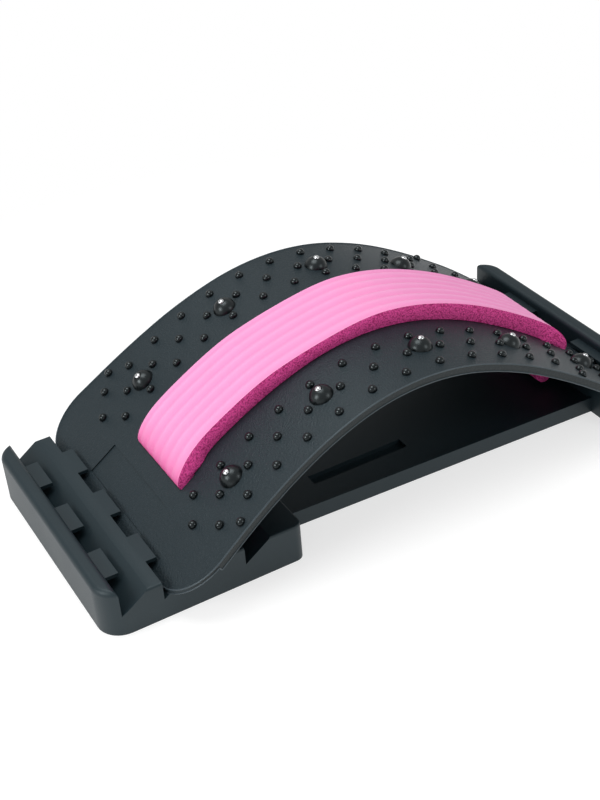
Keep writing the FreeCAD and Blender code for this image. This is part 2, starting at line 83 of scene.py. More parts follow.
class TractionPath(PropertyGroup):
    """Shape of the bent plate's top face, from its crown outwards."""

    crown_x: length("Crown place", "How far the crown lies from the middle of the base", 17.15)
    crown_height: length("Crown height", "Height of the plate's top face at its crown", 130.06)
    crown_length: length("Crown length", "Length of the crown's bend to one side", 60.01)
    crown_angle: turn("Crown angle", "Angle of the crown's bend", 17.9)
    shoulder_length: length("Shoulder length", "Length of the shoulder's bend", 60.01)
    shoulder_angle: turn("Shoulder angle", "Angle of the shoulder's bend", 10.8)
    flank_length: length("Flank length", "Length of the flank's bend", 61)
    flank_angle: turn("Flank angle", "Angle of the flank's bend", 6.1)
    rim_across: length("Rim place", "Least distance of the rims from the middle line", 100)
    rim_reach: length("Rim reach", "How far the rims' beads run from the crown", 232)
    rim_fold: turn("Rim fold", "Least fold of an edge that gets a bead", 50)
    rim_bead: length("Rim bead", "Radius of the bead along the rims", 0.55)


class TractionNubs(PropertyGroup):
    """Sizes and places of the massage nubs and domes."""

    first_row: length("First row", "Distance of the first row of nubs from the crown", 190.22)
    row_pitch: length("Row pitch", "Distance between rows of nubs along the plate", 30.686)
    row_count: IntProperty(name="Rows", description="Rows of nubs along the plate", default=15)
    outer_column: length("Outer column", "Distance of the outer nubs from the middle line", 107)
    middle_column: length("Middle column", "Distance of the middle nubs from the middle line", 85)
    inner_column: length("Inner column", "Distance of the inner nubs from the middle line", 63.5)
    corner_column: length("Corner column", "Distance of the corner nubs from the middle line", 121)
    near_corner: length("Near corner nub", "Distance of the near corner nub from the crown", 176.87)
    far_corner: length("Far corner nub", "Distance of the far corner nub from the crown", 167.74)
    nub_radius: length("Nub radius", "Radius of a nub at its foot", 3.6)
    nub_height: length("Nub height", "Height of a nub over the plate", 4.2)
    nub_root: length("Nub root", "Depth of a nub's foot in the plate", 0.6)
    dome_column: length("Dome column", "Distance of the domes from the middle line", 80)
    dome_step: IntProperty(name="Dome step", description="Rows from one dome to the next", default=3)
    dome_radius: length("Dome radius", "Radius of a dome at its foot", 10)
    dome_height: length("Dome height", "Height of a dome over the plate", 8.2)
    spigot_radius: length("Spigot radius", "Radius of a dome's spigot", 4)
    spigot_length: length("Spigot length", "Length of a dome's spigot below the plate's top", 5)
    magnet_radius: length("Magnet radius", "Radius of a magnet tip", 2.7)
    magnet_reveal: length("Magnet reveal", "How far a magnet tip stands over its dome", 1)
    magnet_length: length("Magnet length", "Length of a magnet", 4.5)


class TractionFoam(PropertyGroup):
    """Sizes of the ribbed foam strip."""

    near_end: length("Near reach", "Distance of the strip's near end from the crown", 195.39)
    far_end: length("Far reach", "Distance of the strip's far end from the crown", 220.39)
    width: length("Width", "Width of the strip's tails", 76.5)
    offset: length("Offset", "How far the tails lie to one side of the middle line", 10)
    top_width: length("Top width", "Width of the strip between its settled ends", 72.6)
    top_offset: length("Top offset", "How far the strip's top lies to one side", 6.2)
    settle_length: length("Settle length", "Length over which the sides settle from a tail", 50)
    thickness: length("Thickness", "Thickness of the strip over its ribs", 14.2)
    tail_thickness: length("Tail thickness", "Thickness of the tails in their openings", 16)
    dip_depth: length("Dip depth", "How much thinner the strip is pressed before the crown", 2.6)
    dip_place: length("Dip place", "Distance of the pressed stretch from the crown", 40)
    dip_length: length("Dip length", "Half length of the pressed stretch", 60)
    rest_gap: length("Rest gap", "Gap between the strip and the plate", 0.35)
    rib_count: IntProperty(name="Ribs", description="Ribs across the strip", default=6)
    rib_depth: length("Rib depth", "Depth of the valleys between ribs", 1.5)
    rib_margin: length("Rib margin", "Plain band between the outer ribs and the strip's sides", 2.7)
    bulge: length("Side bulge", "How far the sides swell out", 1.2)
    roll_length: length("Roll length", "Length over which an end rolls down to the plate", 34)
    near_tail: length("Near tail", "Length of the near tail below the plate", 19)
    far_tail: length("Far tail", "Length of the far tail below the plate", 32)
    tail_round: length("Tail round", "Rounding of the tails' lower corners", 7)
    plate_thickness: length("Plate thickness", "Thickness of the plate that the tails cross", 3)


class TractionColours(PropertyGroup):
    """Colours of the finishes."""

    base: tone("Base", "Satin plastic of the slotted base", 20, 34, 40)
    plate: tone("Plate", "Grained plastic of the bent plate", 21, 33, 39)
    nub: tone("Nubs", "Glossy plastic of the nubs and domes", 9, 13, 15)
    # Painted highlight: the rims' tone is lighter than the plate's so that the beads read as lit edges
    rim: tone("Rims", "Smooth beads along the plate's rims", 60, 70, 76)
    magnet: tone("Magnets", "Bright metal of the magnet tips", 224, 226, 228)
    foam_skin: tone("Foam skin", "Pale skin on the top of the foam", 242, 158, 206)
    # Painted shade: the rolled ends turn away from the lights, and this deeper pink stands in for that
    # shade
    foam_roll_shade: tone("Foam roll", "Deeper pink where the foam rolls over", 240, 64, 152)
    # Painted shade: the grooves' deeper pink stands in for the shade between the ribs
    foam_groove_shade: tone("Foam grooves", "Deeper pink in the grooves between the ribs", 240, 144, 196)
    foam_cut: tone("Foam side", "Cut side of the foam", 250, 84, 172)
    foam_pore: tone("Foam pores", "Dark pores of the cut side", 184, 34, 112)


class TractionView(PropertyGroup):
    """Camera of the main picture."""

    place: FloatVectorProperty(name="Place", description="Where the camera stands",
                               default=(-0.46607, -0.85191, 0.72098), size=3, subtype="TRANSLATION")
    heading: turn("Heading", "Turn of the view from +Y towards +X", 27.32)
    dip: turn("Dip", "Downward tilt of the view", 34.60)
    roll: turn("Roll", "Turn of the picture about its middle", -4.78)
    lens: FloatProperty(name="Lens", description="Focal length on a 36 mm sensor", default=63.02,
                        unit="CAMERA")


# Places on the bent plate
def plate_place(along, across, height=0.0):
    """Return a point over the plate's top face and the plate's upward direction there."""
    path = bpy.context.scene.traction_path
    out = down = slope = 0.0
    left = abs(along)
    for run, bend in ((path.crown_length, path.crown_angle),
                      (path.shoulder_length, path.shoulder_angle),
                      (path.flank_length, path.flank_angle)):
        step = min(left, run)
        radius = run / bend
        new_slope = slope + step / radius
        out += radius * (math.sin(new_slope) - math.sin(slope))
        down += radius * (math.cos(slope) - math.cos(new_slope))
        slope = new_slope
        left -= step
    out += left * math.cos(slope)
    down += left * math.sin(slope)
    side = math.copysign(1, along)
    upright = Vector((side * math.sin(slope), 0, math.cos(slope)))
    foot = Vector((path.crown_x + side * out, across, path.crown_height - down))
    return foot + upright * height, upright


def row_place(row):
    """Return the distance of a row of nubs from the crown."""
    nubs = bpy.context.scene.traction_nubs
    return row * nubs.row_pitch - nubs.first_row


def dome_row(number):
    """Return the row of a dome, counted from the near end."""
    nubs = bpy.context.scene.traction_nubs
    return (nubs.row_count - 1) / 2 + (number - (DOMES_PER_SIDE + 1) / 2) * nubs.dome_step


# Shader and geometry trees
def add_node(tree, kind, inputs=None, **settings):
    """Add a node, set its properties and set or link its inputs."""
    node = tree.nodes.new(kind)
    for name, value in settings.items():
        setattr(node, name, value)
    for key, value in (inputs or {}).items():
        if isinstance(value, bpy.types.NodeSocket):
            tree.links.new(value, node.inputs[key])
        else:
            node.inputs[key].default_value = value
    return node


def maths(tree, kind, first, second=0.0):
    """Add a math node and return its result."""
    return add_node(tree, "ShaderNodeMath", {0: first, 1: second}, operation=kind).outputs[0]


def blend(tree, share, first, second):
    """Blend two colours by a share and return the result."""
    # A colour mix takes its colours at sockets 6 and 7 and gives the result at output 2
    node = add_node(tree, "ShaderNodeMix", {0: share, 6: first, 7: second}, data_type="RGBA")
    return node.outputs[2]


def new_group(name, inputs, outputs):
    """Start a shader node group with named sockets."""
    tree = bpy.data.node_groups.new(name, "ShaderNodeTree")
    for label, kind, default in inputs:
        socket = tree.interface.new_socket(name=label, in_out="INPUT", socket_type=kind)
        if default is not None:
            socket.default_value = default
    for label, kind in outputs:
        tree.interface.new_socket(name=label, in_out="OUTPUT", socket_type=kind)
    start = tree.nodes.new("NodeGroupInput")
    end = tree.nodes.new("NodeGroupOutput")
    return tree, start.outputs, end.inputs


def moulded_group():
    """Build the shared look of moulded plastic: slow clouds of tone and a fine grain."""
    name = "Moulded plastic"
    if name in bpy.data.node_groups:
        return bpy.data.node_groups[name]
    tree, given, result = new_group(
        name,
        [("Place", "NodeSocketVector", None), ("Colour", "NodeSocketColor", (0.1, 0.1, 0.1, 1)),
         ("Cloud scale", "NodeSocketFloat", 20.0), ("Cloud depth", "NodeSocketFloat", 0.1),
         ("Grain scale", "NodeSocketFloat", 900.0), ("Grain depth", "NodeSocketFloat", 0.1),
         ("Roughness", "NodeSocketFloat", 0.5), ("Roughness spread", "NodeSocketFloat", 0.1)],
        [("Colour", "NodeSocketColor"), ("Roughness", "NodeSocketFloat"),
         ("Grain", "NodeSocketFloat")])
    cloud = add_node(tree, "ShaderNodeTexNoise",
                     {"Vector": given["Place"], "Scale": given["Cloud scale"], "Detail": 4.0})
    grain = add_node(tree, "ShaderNodeTexNoise",
                     {"Vector": given["Place"], "Scale": given["Grain scale"], "Detail": 2.0,
                      "Roughness": 0.6})
    cloud_swing = maths(tree, "SUBTRACT", cloud.outputs["Fac"], 0.5)
    grain_swing = maths(tree, "SUBTRACT", grain.outputs["Fac"], 0.5)
    cloud_tone = maths(tree, "MULTIPLY", cloud_swing, given["Cloud depth"])
    grain_tone = maths(tree, "MULTIPLY", grain_swing, given["Grain depth"])
    level = maths(tree, "ADD", maths(tree, "ADD", cloud_tone, grain_tone), 1.0)
    toned = add_node(tree, "ShaderNodeHueSaturation", {"Color": given["Colour"], "Value": level})
    spread = maths(tree, "MULTIPLY", cloud_swing, given["Roughness spread"])
    rough = add_node(tree, "ShaderNodeClamp",
                     {"Value": maths(tree, "ADD", given["Roughness"], spread), "Min": 0.02, "Max": 1.0})
    tree.links.new(toned.outputs["Color"], result["Colour"])
    tree.links.new(rough.outputs["Result"], result["Roughness"])
    tree.links.new(grain.outputs["Fac"], result["Grain"])
    return tree


def pores_group():
    """Build the shared look of foam cells: a mask of small irregular pores."""
    name = "Foam cells"
    if name in bpy.data.node_groups:
        return bpy.data.node_groups[name]
    tree, given, result = new_group(
        name,
        [("Place", "NodeSocketVector", None), ("Cell scale", "NodeSocketFloat", 900.0),
         ("Patch scale", "NodeSocketFloat", 120.0), ("Openness", "NodeSocketFloat", 0.5)],
        [("Pores", "NodeSocketFloat"), ("Height", "NodeSocketFloat")])
    cells = add_node(tree, "ShaderNodeTexVoronoi",
                     {"Vector": given["Place"], "Scale": given["Cell scale"], "Randomness": 1.0})
    specks = add_node(tree, "ShaderNodeTexNoise",
                      {"Vector": given["Place"], "Scale": given["Cell scale"], "Detail": 3.0,
                       "Roughness": 0.7})
    patches = add_node(tree, "ShaderNodeTexNoise",
                       {"Vector": given["Place"], "Scale": given["Patch scale"], "Detail": 2.0})
    cell_share, speck_share, patch_share, softness = 0.6, 0.7, 0.15, 0.35
    mixed = maths(tree, "MULTIPLY", cells.outputs["Distance"], cell_share)
    for texture, share in ((specks, speck_share), (patches, patch_share)):
        mixed = maths(tree, "ADD", mixed, maths(tree, "MULTIPLY", texture.outputs["Fac"], share))
    low = maths(tree, "SUBTRACT", 1.0, given["Openness"])
    high = maths(tree, "ADD", low, softness)
    mask = add_node(tree, "ShaderNodeMapRange", {"Value": mixed, "From Min": low, "From Max": high})
    tree.links.new(mask.outputs["Result"], result["Pores"])
    tree.links.new(maths(tree, "SUBTRACT", 1.0, mask.outputs["Result"]), result["Height"])
    return tree


def place_group(tree, group, inputs):
    """Place a node group in a material with its own values."""
    return add_node(tree, "ShaderNodeGroup", inputs, node_tree=group)


def new_material(name):
    """Start a material and return it with its tree, shader and Object coordinates."""
    material = bpy.data.materials.new(name)
    material.use_nodes = True
    tree = material.node_tree
    shader = tree.nodes["Principled BSDF"]
    place = tree.nodes.new("ShaderNodeTexCoord").outputs["Object"]
    return material, tree, shader, place


def plastic(name, colour, cloud, grain, roughness, bump):
    """Make a moulded plastic: scale and depth of clouds and grain, roughness and its spread, bump."""
    if name in bpy.data.materials:
        return bpy.data.materials[name]
    material, tree, shader, place = new_material(name)
    look = place_group(tree, moulded_group(), {
        "Place": place, "Colour": tuple(colour),
        "Cloud scale": cloud[0], "Cloud depth": cloud[1],
        "Grain scale": grain[0], "Grain depth": grain[1],
        "Roughness": roughness[0], "Roughness spread": roughness[1]})
    relief = add_node(tree, "ShaderNodeBump", {"Height": look.outputs["Grain"],
                                               "Distance": bump[0], "Strength": bump[1]})
    tree.links.new(look.outputs["Colour"], shader.inputs["Base Color"])
    tree.links.new(look.outputs["Roughness"], shader.inputs["Roughness"])
    tree.links.new(relief.outputs["Normal"], shader.inputs["Normal"])
    cool_shine = (0.86, 0.97, 1.0, 1.0)
    shader.inputs["Specular Tint"].default_value = cool_shine
    return material


def nub_plastic():
    """Make the glossy plastic of the nubs."""
    return plastic("Glossy nub plastic", bpy.context.scene.traction_colours.nub, (120.0, 0.2),
                   (2500.0, 0.08), (0.14, 0.06), (0.0001, 0.1))


def dome_plastic():
    """Make the softer gloss of the domes."""
    return plastic("Soft gloss dome plastic", bpy.context.scene.traction_colours.nub, (90.0, 0.25),
                   (2200.0, 0.08), (0.32, 0.1), (0.0001, 0.1))


def paint_side_shade(material, depth):
    """Paint shade on the narrow faces that look sideways, blending their colour towards near black."""
    tree = material.node_tree
    shader = tree.nodes["Principled BSDF"]
    normal = tree.nodes.new("ShaderNodeTexCoord").outputs["Normal"]
    parts = add_node(tree, "ShaderNodeSeparateXYZ", {0: normal})
    sideways = maths(tree, "ABSOLUTE", parts.outputs["Y"])
    # Painted shade: faces whose normal points mostly along Y are darkened, up to the given depth
    mask = add_node(tree, "ShaderNodeMapRange", {"Value": sideways, "From Min": 0.75,
                                                 "From Max": 0.95, "To Max": depth})
    toned = shader.inputs["Base Color"].links[0].from_socket
    # Painted shade: the sideways faces are blended towards this near black
    painted_shade_colour = (0.001, 0.002, 0.002, 1)
    dark = blend(tree, mask.outputs["Result"], toned, painted_shade_colour)
    tree.links.new(dark, shader.inputs["Base Color"])


def bright_metal():
    """Make the polished metal of the magnet tips, with faint clouding."""
    name = "Bright magnet metal"
    if name in bpy.data.materials:
        return bpy.data.materials[name]
    colours = bpy.context.scene.traction_colours
    material, tree, shader, place = new_material(name)
    look = place_group(tree, moulded_group(), {
        "Place": place, "Colour": tuple(colours.magnet), "Cloud scale": 300.0, "Cloud depth": 0.1,
        "Grain scale": 4000.0, "Grain depth": 0.05, "Roughness": 0.12, "Roughness spread": 0.08})
    tree.links.new(look.outputs["Colour"], shader.inputs["Base Color"])
    tree.links.new(look.outputs["Roughness"], shader.inputs["Roughness"])
    shader.inputs["Metallic"].default_value = 1.0
    return material


def foam_skin():
    """Make the foam's pale skin, with painted shade as deeper pinks in its grooves and on its rolled
    ends.
    """
    name = "Foam skin"
    if name in bpy.data.materials:
        return bpy.data.materials[name]
    colours = bpy.context.scene.traction_colours
    material, tree, shader, place = new_material(name)
    roll = add_node(tree, "ShaderNodeAttribute", attribute_name="roll").outputs["Fac"]
    groove_shade = add_node(tree, "ShaderNodeAttribute", attribute_name="groove_shade").outputs["Fac"]
    # Painted shade: deeper pink in the grooves between the ribs
    ribbed = blend(tree, groove_shade, tuple(colours.foam_skin), tuple(colours.foam_groove_shade))
    # Painted shade: deeper pink where the ends roll over, by the rolled share
    pink = blend(tree, roll, ribbed, tuple(colours.foam_roll_shade))
    look = place_group(tree, moulded_group(), {
        "Place": place, "Colour": pink, "Cloud scale": 60.0, "Cloud depth": 0.06,
        "Grain scale": 1500.0, "Grain depth": 0.08, "Roughness": 0.72, "Roughness spread": 0.1})
    relief = add_node(tree, "ShaderNodeBump", {"Height": look.outputs["Grain"],
                                               "Distance": 0.0004, "Strength": 0.35})
    tree.links.new(look.outputs["Colour"], shader.inputs["Base Color"])
    tree.links.new(look.outputs["Roughness"], shader.inputs["Roughness"])
    tree.links.new(relief.outputs["Normal"], shader.inputs["Normal"])
    shader.inputs["Sheen Weight"].default_value = 0.15
    shader.inputs["Sheen Roughness"].default_value = 0.4
    return material


def foam_cut():
    """Make the foam's cut sides, speckled with open cells."""
    name = "Foam cut side"
    if name in bpy.data.materials:
        return bpy.data.materials[name]
    colours = bpy.context.scene.traction_colours
    material, tree, shader, place = new_material(name)
    cells = place_group(tree, pores_group(), {"Place": place, "Cell scale": 700.0,
                                              "Patch scale": 160.0, "Openness": 0.38})
    pink = blend(tree, cells.outputs["Pores"], tuple(colours.foam_cut), tuple(colours.foam_pore))
    relief = add_node(tree, "ShaderNodeBump", {"Height": cells.outputs["Height"],
                                               "Distance": 0.0008, "Strength": 0.7})
    tree.links.new(pink, shader.inputs["Base Color"])
    tree.links.new(relief.outputs["Normal"], shader.inputs["Normal"])
    shader.inputs["Roughness"].default_value = 0.9
    return material


# Pieces
def dress(node, material):
    """Give a carried-over CAD node its finish."""
    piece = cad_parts[node]
    piece.data.materials.clear()
    piece.data.materials.append(material)


def soften(node):
    """Round a CAD node's sharp edges a little, so that they catch the light."""
    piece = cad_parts[node]
    weld = piece.modifiers.new("Weld", "WELD")
    weld.merge_threshold = WELD_REACH
    flat = piece.modifiers.new("Flat faces", "DECIMATE")
    flat.decimate_type = "DISSOLVE"
    flat.angle_limit = math.radians(0.5)
    bevel = piece.modifiers.new("Soft edges", "BEVEL")
    bevel.width = SOFT_EDGE
    bevel.segments = 2
    bevel.limit_method = "ANGLE"
    bevel.angle_limit = math.radians(35)
    normals = piece.modifiers.new("Even shading", "WEIGHTED_NORMAL")
    normals.weight = 60


def bead_tree(material):
    """Build the tree that runs a thin round bead along every line."""
    tree = bpy.data.node_groups.new("Beads on lines", "GeometryNodeTree")
    tree.interface.new_socket(name="Lines", in_out="INPUT", socket_type="NodeSocketGeometry")
    tree.interface.new_socket(name="Bead radius", in_out="INPUT", socket_type="NodeSocketFloat")
    tree.interface.new_socket(name="Beads", in_out="OUTPUT", socket_type="NodeSocketGeometry")
    given = tree.nodes.new("NodeGroupInput").outputs
    result = tree.nodes.new("NodeGroupOutput").inputs
    path = add_node(tree, "GeometryNodeMeshToCurve", {"Mesh": given["Lines"]})
    circle = add_node(tree, "GeometryNodeCurvePrimitiveCircle", {"Resolution": 10,
                                                                 "Radius": given["Bead radius"]})
    beads = add_node(tree, "GeometryNodeCurveToMesh", {"Curve": path.outputs[0],
                                                       "Profile Curve": circle.outputs["Curve"],
                                                       "Fill Caps": True})
    smooth = add_node(tree, "GeometryNodeSetShadeSmooth", {"Geometry": beads.outputs[0]})
    real = add_node(tree, "GeometryNodeRealizeInstances", {"Geometry": smooth.outputs[0]})
    painted = add_node(tree, "GeometryNodeSetMaterial", {"Geometry": real.outputs[0],
                                                         "Material": material})
    tree.links.new(painted.outputs[0], result["Beads"])
    return tree


def rim_lines(name):
    """Collect the sharp edges of the plate's two long rims, clear of its seated ends."""
    path = bpy.context.scene.traction_path
    form = bmesh.new()
    form.from_mesh(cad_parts["arch_plate"].data)
    bmesh.ops.remove_doubles(form, verts=form.verts, dist=WELD_REACH)
    others = []
    for edge in form.edges:
        middle = (edge.verts[0].co + edge.verts[1].co) / 2
        on_rim = abs(middle.y) > path.rim_across and abs(middle.x - path.crown_x) < path.rim_reach
        if not on_rim or edge.calc_face_angle(0) <= path.rim_fold:
            others.append(edge)
    bmesh.ops.delete(form, geom=list(form.faces), context="FACES_ONLY")
    bmesh.ops.delete(form, geom=others, context="EDGES")
    mesh = bpy.data.meshes.new(name)
    form.to_mesh(mesh)
    form.free()
    return mesh


def new_piece(name, mesh, body, replaced):
    """Add a finished mesh as a piece, in place of the CAD nodes it stands for, if any."""
    piece = bpy.data.objects.new(name, mesh)
    bpy.context.scene.collection.objects.link(piece)
    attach(piece, body)
    if replaced:
        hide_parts(*replaced)
    return piece


def button_tree(material):
    """Build the tree that seats a smooth round button on every point."""
    tree = bpy.data.node_groups.new("Buttons on points", "GeometryNodeTree")
    tree.interface.new_socket(name="Points", in_out="INPUT", socket_type="NodeSocketGeometry")
    for label in ("Foot radius", "Height", "Root"):
        tree.interface.new_socket(name=label, in_out="INPUT", socket_type="NodeSocketFloat")
    tree.interface.new_socket(name="Buttons", in_out="OUTPUT", socket_type="NodeSocketGeometry")
    given = tree.nodes.new("NodeGroupInput").outputs
    result = tree.nodes.new("NodeGroupOutput").inputs
    squares = maths(tree, "ADD", maths(tree, "POWER", given["Foot radius"], 2.0),
                     maths(tree, "POWER", given["Height"], 2.0))
    ball_radius = maths(tree, "DIVIDE", squares, maths(tree, "MULTIPLY", given["Height"], 2.0))
    ball = add_node(tree, "GeometryNodeMeshUVSphere", {"Segments": 20, "Rings": 12,
                                                       "Radius": ball_radius})
    parts = add_node(tree, "ShaderNodeSeparateXYZ",
                     {0: tree.nodes.new("GeometryNodeInputPosition").outputs[0]})
    sunk = maths(tree, "ADD", parts.outputs["Z"],
                  maths(tree, "SUBTRACT", given["Height"], ball_radius))
    floor = maths(tree, "MULTIPLY", given["Root"], -1.0)
    flat = maths(tree, "MAXIMUM", sunk, floor)
    moved = add_node(tree, "ShaderNodeCombineXYZ", {"X": parts.outputs["X"],
                                                    "Y": parts.outputs["Y"], "Z": flat})
    button = add_node(tree, "GeometryNodeSetPosition", {"Geometry": ball.outputs["Mesh"],
                                                        "Position": moved.outputs[0]})
    smooth = add_node(tree, "GeometryNodeSetShadeSmooth", {"Geometry": button.outputs[0]})
    upright = add_node(tree, "GeometryNodeInputNamedAttribute", {"Name": "upright"},
                       data_type="FLOAT_VECTOR")
    aim = add_node(tree, "FunctionNodeAlignRotationToVector",
                   {"Vector": upright.outputs["Attribute"]}, axis="Z")
    spread = add_node(tree, "GeometryNodeInstanceOnPoints",
                      {"Points": given["Points"], "Instance": smooth.outputs[0],
                       "Rotation": aim.outputs[0]})
    real = add_node(tree, "GeometryNodeRealizeInstances", {"Geometry": spread.outputs[0]})
    painted = add_node(tree, "GeometryNodeSetMaterial", {"Geometry": real.outputs[0],
                                                         "Material": material})
    tree.links.new(painted.outputs[0], result["Buttons"])
    return tree


def points_mesh(name, places):
    """Make a mesh of loose points that know the plate's upward direction."""
    seats = [plate_place(along, across) for along, across in places]
    mesh = bpy.data.meshes.new(name)
    mesh.from_pydata([seat for seat, upright in seats], [], [])
    holder = mesh.attributes.new("upright", "FLOAT_VECTOR", "POINT")
    for index, (seat, upright) in enumerate(seats):
        holder.data[index].vector = upright
    return mesh


def grown_mesh(name, points, tree, values):
    """Run a geometry tree on a mesh of points and return the result as a plain mesh."""
    seed = bpy.data.objects.new(name + "_seed", points)
    bpy.context.scene.collection.objects.link(seed)
    modifier = seed.modifiers.new("Grow", "NODES")
    modifier.node_group = tree
    for item in tree.interface.items_tree:
        if item.item_type == "SOCKET" and item.in_out == "INPUT" and item.name in values:
            modifier[item.identifier] = values[item.name]
    evaluated = seed.evaluated_get(bpy.context.evaluated_depsgraph_get())
    mesh = bpy.data.meshes.new_from_object(evaluated)
    mesh.name = name
    seed.modifiers.remove(modifier)
    bpy.data.objects.remove(seed)
    return mesh


def turned_mesh(name, profile, along, across, material, segments):
    """Turn a profile of radius and height round the plate's upward direction at one place."""
    seat, upright = plate_place(along, across)
    lean = Vector((0, 0, 1)).rotation_difference(upright)
    form = bmesh.new()
    rings = []
    for radius, height in profile:
        if radius == 0:
            rings.append([form.verts.new((0, 0, height))])
            continue
        ring = []
        for step in range(segments):
            angle = step * math.tau / segments
            ring.append(form.verts.new((radius * math.cos(angle), radius * math.sin(angle), height)))
        rings.append(ring)
    for low, high in zip(rings, rings[1:]):
        for step in range(segments):
            after = (step + 1) % segments
            corners = [low[step % len(low)], low[after % len(low)],
                       high[after % len(high)], high[step % len(high)]]
            unique = [corner for index, corner in enumerate(corners) if corner not in corners[:index]]
            form.faces.new(unique).smooth = True
    bmesh.ops.recalc_face_normals(form, faces=form.faces)
    bmesh.ops.transform(form, matrix=Matrix.Translation(seat) @ lean.to_matrix().to_4x4(),
                        verts=form.verts)
    mesh = bpy.data.meshes.new(name)
    form.to_mesh(mesh)
    form.free()
    mesh.set_sharp_from_angle(angle=math.radians(50))
    mesh.materials.append(material)
    return mesh


def turn_all(kind, profile, material, segments):
    """Turn a profile at every dome's place, each as a piece of its own."""
    column = bpy.context.scene.traction_nubs.dome_column
    for side, sign in SIDES:
        for number in range(1, DOMES_PER_SIDE + 1):
            name = f"{kind}_{side}_{number}"
            mesh = turned_mesh(name + "_turned", profile, row_place(dome_row(number)),
                               sign * column, material, segments)
            new_piece(name + "_turned", mesh, "arch", [name])


def dome_profile():
    """Draw a dome from the bottom of its spigot to the bottom of its magnet socket."""
    nubs = bpy.context.scene.traction_nubs
    radius = nubs.dome_radius
    height = nubs.dome_height
    ball = (radius ** 2 + height ** 2) / (2 * height)
    centre = height - ball
    mouth = nubs.magnet_radius + 0.7 * MM
    root = -0.25 * MM
    foot = -nubs.spigot_length
    chamfer = 0.4 * MM
    undercut = 0.2 * MM
    profile = [(0, foot), (nubs.spigot_radius - chamfer, foot),
               (nubs.spigot_radius, foot + chamfer), (nubs.spigot_radius, root),
               (radius - undercut, root), (radius, 0)]
    start = math.asin(-centre / ball)
    stop = math.acos(mouth / ball)
    steps = 16
    for step in range(1, steps + 1):
        angle = start + (stop - start) * step / steps
        profile.append((ball * math.cos(angle), centre + ball * math.sin(angle)))
    rim = profile[-1][1]
    socket = nubs.magnet_radius + 0.05 * MM
    socket_top = rim - 1.2 * MM
    socket_floor = rim - 2.6 * MM
    profile += [(mouth - 0.25 * MM, rim - 0.05 * MM), (mouth - 0.4 * MM, rim - 0.35 * MM),
                (socket, socket_top), (socket, socket_floor), (0, socket_floor)]
    return profile


def magnet_profile():
    """Draw a magnet with a ball-shaped tip."""
    nubs = bpy.context.scene.traction_nubs
    radius = nubs.magnet_radius
    top = nubs.dome_height + nubs.magnet_reveal
    bottom = top - nubs.magnet_length
    crown = 1.9 * MM
    chamfer = 0.2 * MM
    profile = [(0, bottom), (radius - chamfer, bottom), (radius, bottom + chamfer)]
    steps = 12
    for step in range(steps + 1):
        angle = step / steps * math.pi / 2
        profile.append((radius * math.cos(angle), top - crown + crown * math.sin(angle)))
    profile[-1] = (0, top)
    return profile


# Foam strip
def foam_outline():
    """List the strip's outline as place across, share of the thickness, and kind of face."""
    foam = bpy.context.scene.traction_foam
    low = -foam.offset - foam.width / 2
    high = -foam.offset + foam.width / 2
    side_steps = 8
    rib_steps = 10
    outline = []
    for step in range(side_steps):
        share = step / side_steps
        swell = foam.bulge * (1 - math.sin(math.pi * share))
        outline.append((low + swell, share, "cut"))
    width = foam.width - 2 * foam.bulge
    ribbed = width - 2 * foam.rib_margin
    outline.append((low + foam.bulge, 1, "skin"))
    count = foam.rib_count * rib_steps
    for step in range(count + 1):
        crest = math.sin(math.pi * step / rib_steps) ** 2
        valley = 1 - foam.rib_depth / foam.thickness * (1 - crest)
        across = low + foam.bulge + foam.rib_margin + ribbed * step / count
        outline.append((across, valley, "skin"))
    for step in range(side_steps + 1):
        share = 1 - step / side_steps
        swell = foam.bulge * (1 - math.sin(math.pi * share))
        outline.append((high - swell, share, "cut"))
    floor_steps = 12
    for step in range(1, floor_steps):
        outline.append((high - foam.bulge - width * step / floor_steps, 0, "cut"))
    return outline


def foam_stations():
    """List the strip's sections: inner and outer point along and over the plate, share rolled."""
    foam = bpy.context.scene.traction_foam
    low = foam.rest_gap
    top = low + foam.thickness
    near_flat = -foam.near_end + foam.roll_length
    far_flat = foam.far_end - foam.roll_length
    stations = []
    flat_steps = 84
    for step in range(flat_steps + 1):
        along = near_flat + (far_flat - near_flat) * step / flat_steps
        stations.append(((along, low), (along, top), 0.0))
    for side, flat, end, tail in ((-1, near_flat, foam.near_end, foam.near_tail),
                                  (1, far_flat, foam.far_end, foam.far_tail)):
        slot_inner = side * (end - foam.tail_thickness)
        slot_outer = side * end
        roll = []
        roll_steps = 18
        for step in range(1, roll_steps + 1):
            share = step / roll_steps
            angle = share * math.pi / 2
            inner = flat + (slot_inner - flat) * share
            outer = flat + side * foam.roll_length * math.sin(angle)
            roll.append(((inner, low), (outer, low + foam.thickness * math.cos(angle)), share ** 2))
        straight = foam.plate_thickness + tail - foam.tail_round
        tail_steps = 5
        for step in range(1, tail_steps + 1):
            drop = low - (straight + low) * step / tail_steps
            roll.append(((slot_inner, drop), (slot_outer, drop), 1.0))
        round_steps = 7
        for step in range(1, round_steps + 1):
            angle = step / round_steps * math.pi / 2
            inset = side * foam.tail_round * (1 - math.cos(angle))
            drop = -straight - foam.tail_round * math.sin(angle)
            roll.append(((slot_inner + inset, drop), (slot_outer - inset, drop), 1.0))
        stations = (roll[::-1] + stations) if side < 0 else (stations + roll)
    return stations


def foam_across(across, along):
    """Shift a place across the tails to its place across the narrower top."""
    foam = bpy.context.scene.traction_foam
    from_end = max(min(along + foam.near_end, foam.far_end - along), 0)
    share = min(from_end / foam.settle_length, 1)
    settled = share * share * (3 - 2 * share)
    width = foam.width + (foam.top_width - foam.width) * settled
    offset = foam.offset + (foam.top_offset - foam.offset) * settled
    return (across + foam.offset) * width / foam.width - offset


def foam_press(along):
    """Return the share of its thickness that the strip keeps at a place along the plate."""
    foam = bpy.context.scene.traction_foam
    reach = min(abs(along + foam.dip_place) / foam.dip_length, 1)
    return 1 - foam.dip_depth / foam.thickness * math.cos(reach * math.pi / 2) ** 2


